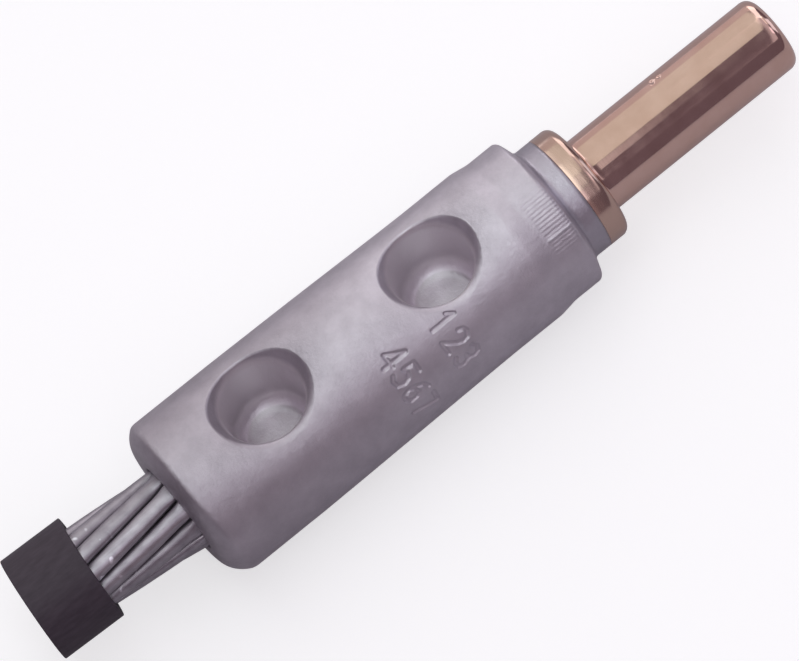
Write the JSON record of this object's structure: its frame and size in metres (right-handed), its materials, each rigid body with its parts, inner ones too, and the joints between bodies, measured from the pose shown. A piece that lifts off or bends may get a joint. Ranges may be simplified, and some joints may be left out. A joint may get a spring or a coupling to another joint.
{
  "type": "bimetallic pin terminal",
  "caption": "Bimetallic pin terminal: an aluminium barrel with deep crimp dents on a short cable end, its flanged round copper pin at the front.",
  "frame": {"origin": "on the axis, where the pin's straight shank begins, just past the fillet at the flange", "axes": "+X along the axis towards the pin's tip, +Z on the side of the crimp dents, +Y across"},
  "size_m": [0.1358, 0.0266, 0.0266],
  "materials": {
    "barrel_aluminium": "satin, lightly mottled",
    "pin_copper": "polished copper",
    "strand_aluminium": "drawn, slightly worn",
    "insulation_black": "black, satin"
  },
  "bodies": {
    "root": {"barrel": "barrel_aluminium", "pin": "pin_copper", "insulation": "insulation_black", "wire_core": "strand_aluminium", "wire_inner_1": "strand_aluminium", "wire_inner_2": "strand_aluminium", "wire_inner_3": "strand_aluminium", "wire_inner_4": "strand_aluminium", "wire_inner_5": "strand_aluminium", "wire_inner_6": "strand_aluminium", "wire_outer_1": "strand_aluminium", "wire_outer_2": "strand_aluminium", "wire_outer_3": "strand_aluminium", "wire_outer_4": "strand_aluminium", "wire_outer_5": "strand_aluminium", "wire_outer_6": "strand_aluminium", "wire_outer_7": "strand_aluminium", "wire_outer_8": "strand_aluminium", "wire_outer_9": "strand_aluminium", "wire_outer_10": "strand_aluminium", "wire_outer_11": "strand_aluminium", "wire_outer_12": "strand_aluminium"}
  },
  "joints": []
}
